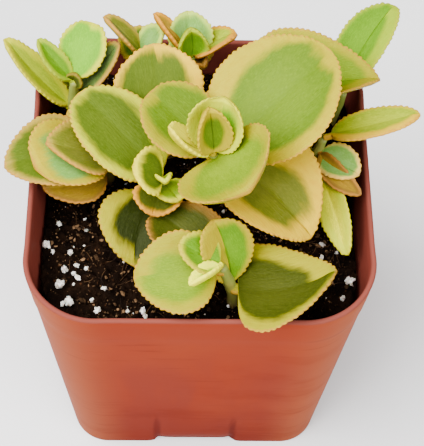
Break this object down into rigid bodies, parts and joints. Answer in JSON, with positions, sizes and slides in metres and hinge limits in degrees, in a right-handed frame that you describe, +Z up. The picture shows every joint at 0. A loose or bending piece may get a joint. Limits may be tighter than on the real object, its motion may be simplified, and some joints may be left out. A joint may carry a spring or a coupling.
{
  "type": "potted stonecrop",
  "caption": "Variegated stonecrop with broad toothed leaves in opposite pairs on short leafy stems, in soil in a tapering square plastic nursery pot.",
  "frame": {"origin": "on the surface that the pot stands on, under the middle of the plant and pot's outline seen from above, which is about a millimetre to the right of the pot's own middle", "axes": "+Z up; +Y from the side that the picture is taken from towards the back; +X to the picture's right"},
  "size_m": [0.0686, 0.0608, 0.0818],
  "materials": {
    "terracotta_plastic": "satin",
    "soil": "matte",
    "leaf": "satin",
    "stem": "matte",
    "perlite": "matte"
  },
  "bodies": {
    "root": {"pot": "terracotta_plastic", "soil": "soil", "shoot_middle": "leaf", "shoot_middle_back": "leaf", "shoot_middle_left": "leaf", "shoot_front": "leaf", "shoot_right": "leaf", "shoot_middle_right": "leaf", "shoot_right_back": "leaf", "shoot_back": "leaf", "shoot_back_left": "leaf", "shoot_left_back": "leaf", "shoot_left": "leaf"}
  },
  "joints": []
}
